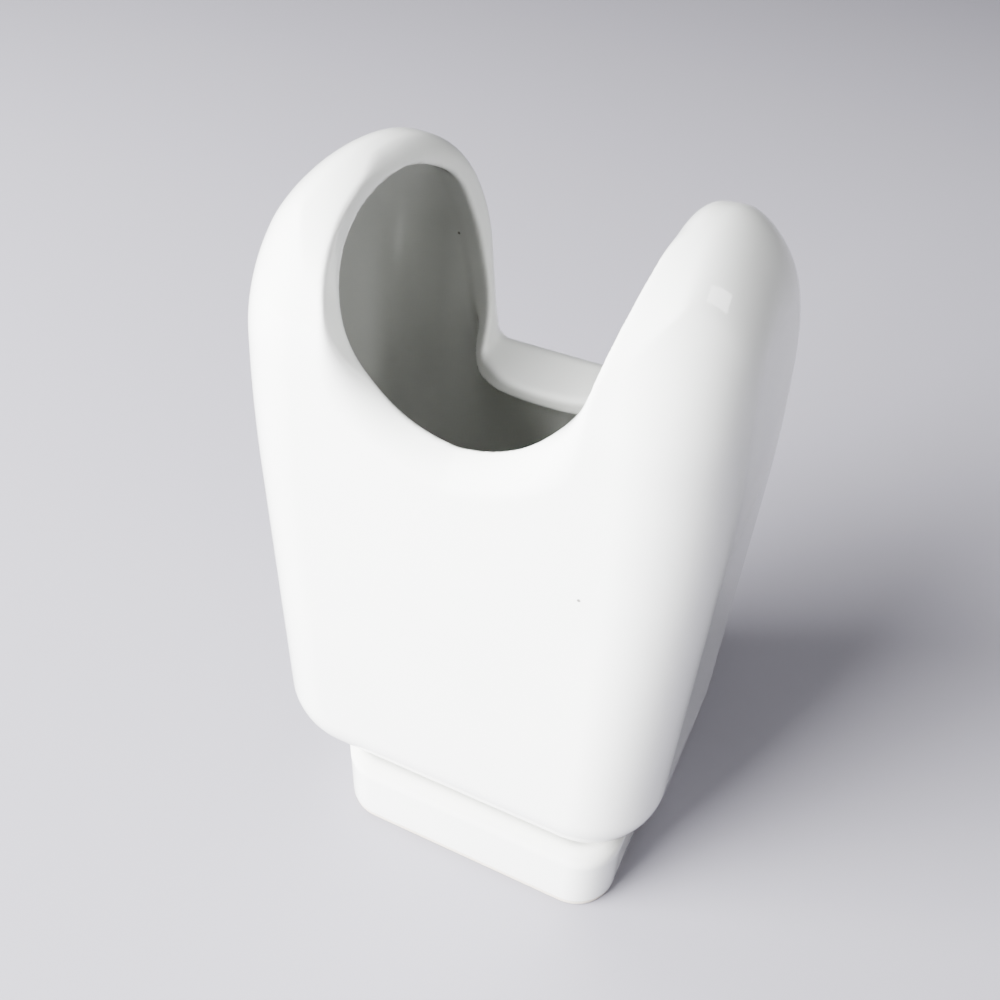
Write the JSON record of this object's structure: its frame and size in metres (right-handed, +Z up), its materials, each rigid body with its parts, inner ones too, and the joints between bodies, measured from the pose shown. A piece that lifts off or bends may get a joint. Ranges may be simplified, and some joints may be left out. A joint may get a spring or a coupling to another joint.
{
  "type": "pillow vase",
  "caption": "Free-standing glazed pillow vase with hollow rounded horns, a U-shaped notch between them and a recessed rectangular foot.",
  "frame": {"origin": "on the surface the vase stands on, under the middle of the body", "axes": "+Z up, +X across the horns, +Y from the front face to the back face"},
  "size_m": [0.127, 0.0868, 0.206],
  "materials": {
    "white_glaze": "glossy white glaze",
    "bare_clay": "bare fired clay, matte"
  },
  "bodies": {
    "root": {"front_shell": "white_glaze", "back_shell": "white_glaze", "body_floor": "white_glaze", "foot_collar": "white_glaze", "foot_ring": "bare_clay"}
  },
  "joints": []
}
